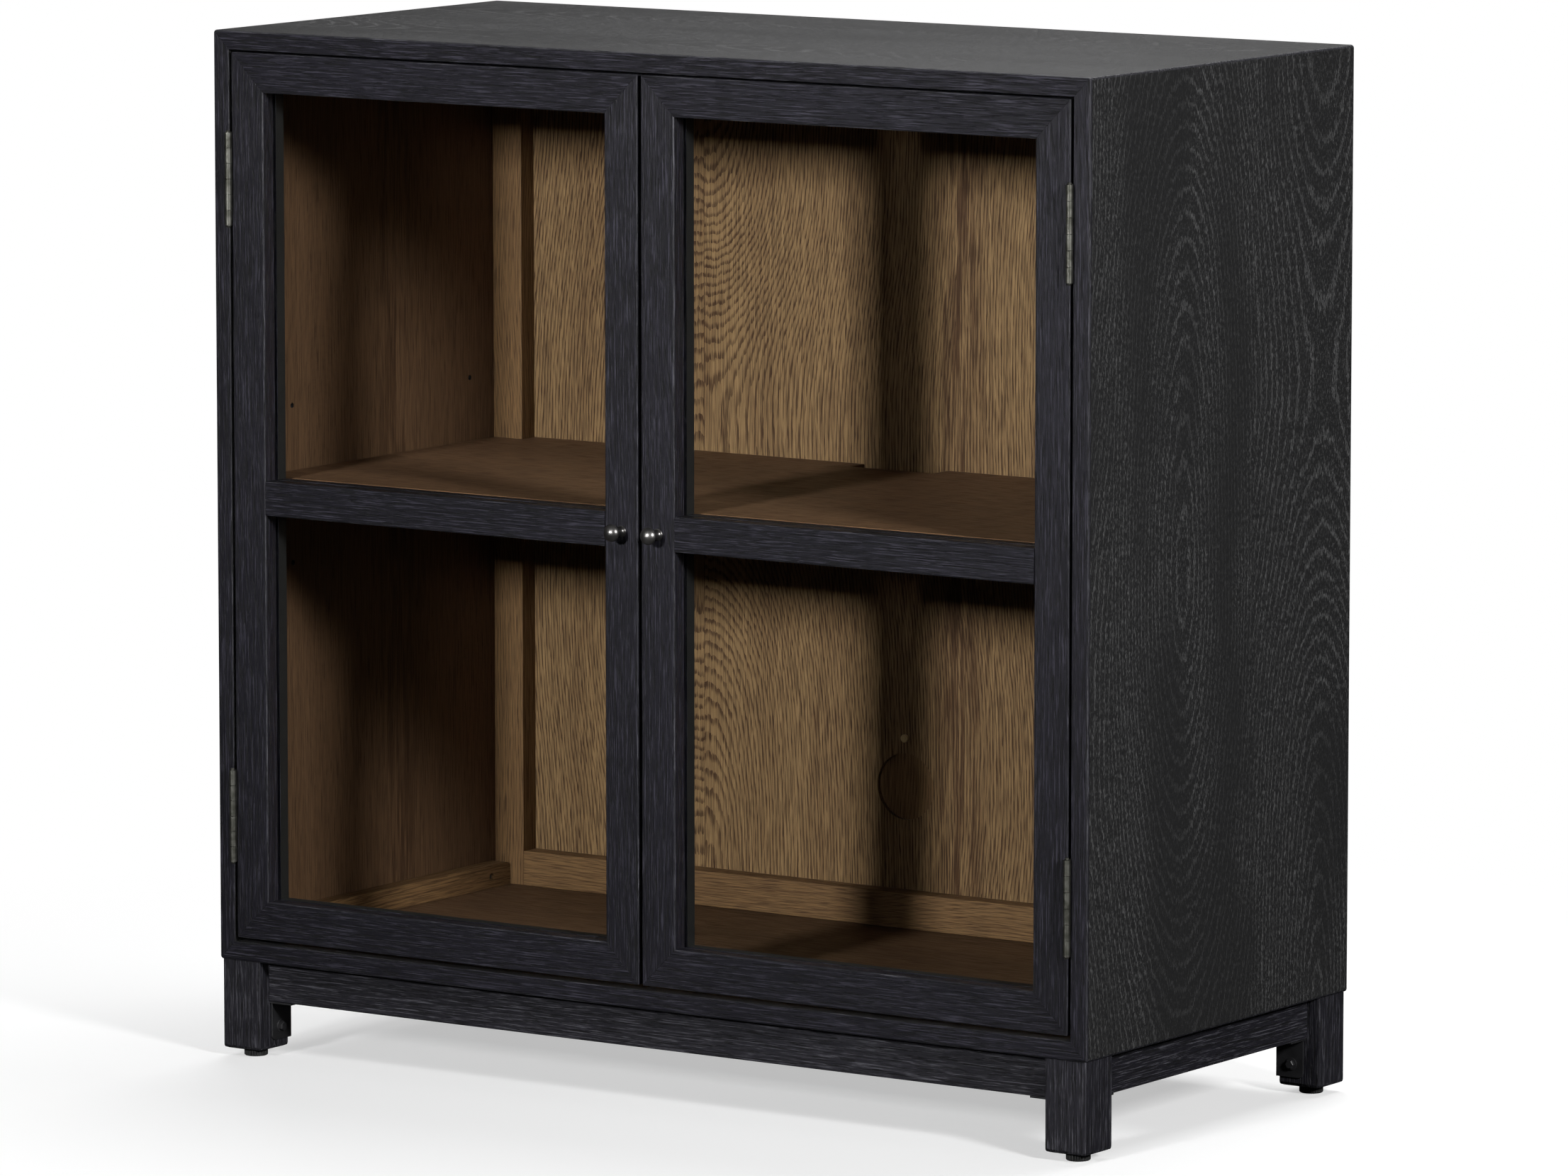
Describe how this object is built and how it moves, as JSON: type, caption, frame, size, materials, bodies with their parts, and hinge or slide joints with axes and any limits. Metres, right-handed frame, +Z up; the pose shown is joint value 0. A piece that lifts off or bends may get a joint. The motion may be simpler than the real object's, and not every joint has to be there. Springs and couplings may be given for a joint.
{
  "type": "two-door glazed display cabinet",
  "caption": "Low wooden display cabinet with a pair of hinged glazed doors, a loose shelf, a cable outlet in the back and a leg-and-apron base on screw levellers.",
  "frame": {"origin": "on the floor, at the centre of the overall box, which reaches from the front of the door knobs to the back of the case", "axes": "+Z up; +X along the width, to the right of someone facing the doors; the doors face -Y and +Y points to the back"},
  "size_m": [1, 0.482, 1],
  "materials": {
    "black_oak": "black-stained, wire-brushed oak with a matt lacquer",
    "brown_oak": "brown-stained oak veneer with a satin lacquer",
    "glass": "clear float glass",
    "gunmetal": "dark gunmetal plating with a soft sheen",
    "black_steel": "black powder coat",
    "zinc_steel": "bright zinc plating",
    "black_plastic": "matt black moulding"
  },
  "bodies": {
    "cabinet": {"top_panel": "black_oak", "left_side_panel": "black_oak", "right_side_panel": "black_oak", "bottom_panel": "black_oak", "back_panel": "brown_oak", "back_left_stile": "brown_oak", "back_right_stile": "brown_oak", "back_bottom_rail": "brown_oak", "left_floor_cleat": "brown_oak", "shelf_support_front_left": "zinc_steel", "shelf_support_front_right": "zinc_steel", "shelf_support_rear_left": "zinc_steel", "shelf_support_rear_right": "zinc_steel", "cable_cover_screw": "zinc_steel", "leg_front_left": "black_oak", "leg_front_right": "black_oak", "leg_rear_left": "black_oak", "leg_rear_right": "black_oak", "apron_front": "black_oak", "apron_rear": "black_oak", "apron_left": "black_oak", "apron_right": "black_oak", "leg_bracket_front_left": "black_steel", "leg_bracket_front_right": "black_steel", "leg_bracket_rear_left": "black_steel", "leg_bracket_rear_right": "black_steel", "hinge_upper_left_case_leaf": "gunmetal", "hinge_upper_left_pin": "gunmetal", "hinge_lower_left_case_leaf": "gunmetal", "hinge_lower_left_pin": "gunmetal", "hinge_upper_right_case_leaf": "gunmetal", "hinge_upper_right_pin": "gunmetal", "hinge_lower_right_case_leaf": "gunmetal", "hinge_lower_right_pin": "gunmetal"},
    "left_door": {"left_door_hinge_stile": "black_oak", "left_door_meeting_stile": "black_oak", "left_door_top_rail": "black_oak", "left_door_mid_rail": "black_oak", "left_door_bottom_rail": "black_oak", "left_door_upper_glass": "glass", "left_door_lower_glass": "glass", "left_door_knob": "gunmetal", "hinge_upper_left_door_leaf": "gunmetal", "hinge_lower_left_door_leaf": "gunmetal"},
    "right_door": {"right_door_hinge_stile": "black_oak", "right_door_meeting_stile": "black_oak", "right_door_top_rail": "black_oak", "right_door_mid_rail": "black_oak", "right_door_bottom_rail": "black_oak", "right_door_upper_glass": "glass", "right_door_lower_glass": "glass", "right_door_knob": "gunmetal", "hinge_upper_right_door_leaf": "gunmetal", "hinge_lower_right_door_leaf": "gunmetal"},
    "shelf": {"shelf": "brown_oak"},
    "cable_cover": {"cable_cover": "black_oak"},
    "leveller_front_left": {"leveller_front_left": "black_plastic"},
    "leveller_front_right": {"leveller_front_right": "black_plastic"},
    "leveller_rear_left": {"leveller_rear_left": "black_plastic"},
    "leveller_rear_right": {"leveller_rear_right": "black_plastic"}
  },
  "joints": [
    {"name": "left_door_hinge", "type": "hinge", "parent": "cabinet", "child": "left_door", "pos_m": [-0.48, -0.2228, 0.548], "axis": [0, 0, -1], "range_deg": [0, 170]},
    {"name": "right_door_hinge", "type": "hinge", "parent": "cabinet", "child": "right_door", "pos_m": [0.48, -0.2228, 0.548], "axis": [0, 0, 1], "range_deg": [0, 170]},
    {"name": "shelf_lift", "type": "slide", "parent": "cabinet", "child": "shelf", "axis": [0, 0, 1], "range_m": [0, 0.08]},
    {"name": "cable_cover_pivot", "type": "hinge", "parent": "cabinet", "child": "cable_cover", "pos_m": [0, 0.238, 0.299], "axis": [0, 1, 0], "continuous": true},
    {"name": "leveller_front_left_screw", "type": "slide", "parent": "cabinet", "child": "leveller_front_left", "axis": [0, 0, -1], "range_m": [0, 0.012]},
    {"name": "leveller_front_right_screw", "type": "slide", "parent": "cabinet", "child": "leveller_front_right", "axis": [0, 0, -1], "range_m": [0, 0.012]},
    {"name": "leveller_rear_left_screw", "type": "slide", "parent": "cabinet", "child": "leveller_rear_left", "axis": [0, 0, -1], "range_m": [0, 0.012]},
    {"name": "leveller_rear_right_screw", "type": "slide", "parent": "cabinet", "child": "leveller_rear_right", "axis": [0, 0, -1], "range_m": [0, 0.012]}
  ]
}
